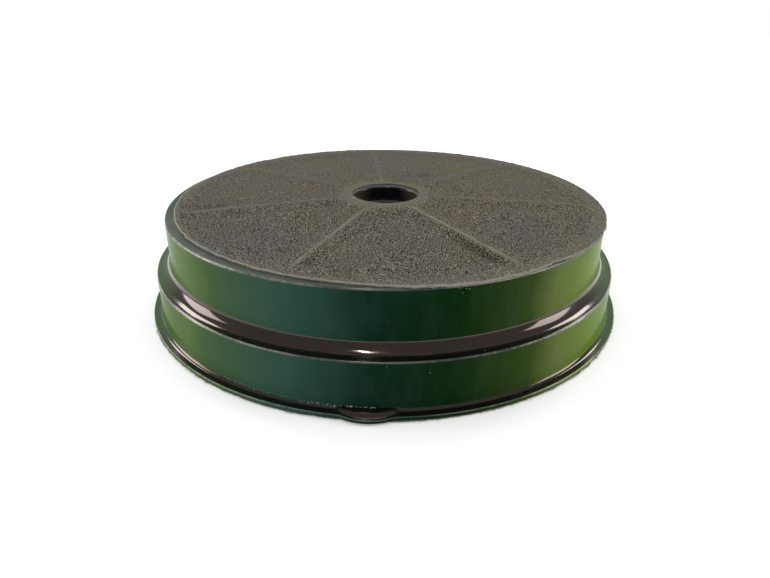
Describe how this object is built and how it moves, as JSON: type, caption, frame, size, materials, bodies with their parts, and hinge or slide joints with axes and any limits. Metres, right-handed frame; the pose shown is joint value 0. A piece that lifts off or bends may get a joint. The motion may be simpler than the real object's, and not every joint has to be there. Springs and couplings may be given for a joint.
{
  "type": "cooker hood carbon filter",
  "caption": "Round drum-shaped air filter: stepped plastic housing with a flange and hub, loose carbon granules inside and welded grey fleece on both faces.",
  "frame": {"origin": "on the hub's axis, at the hub collar's lower end, in the plane that the filter lies on", "axes": "+Z along the hub's axis towards the smaller face, -Y towards the grip lug's side"},
  "size_m": [0.233, 0.2349, 0.0492],
  "materials": {
    "housing_plastic": "glossy dark bottle green moulded plastic",
    "fleece": "needled fleece loaded with fine carbon grains",
    "carbon": "loose black granules"
  },
  "bodies": {
    "root": {"housing": "housing_plastic", "top_fleece": "fleece", "bottom_fleece": "fleece", "carbon_bed_1": "carbon", "carbon_bed_2": "carbon", "carbon_bed_3": "carbon", "carbon_bed_4": "carbon", "carbon_bed_5": "carbon", "carbon_bed_6": "carbon", "carbon_bed_7": "carbon"}
  },
  "joints": []
}
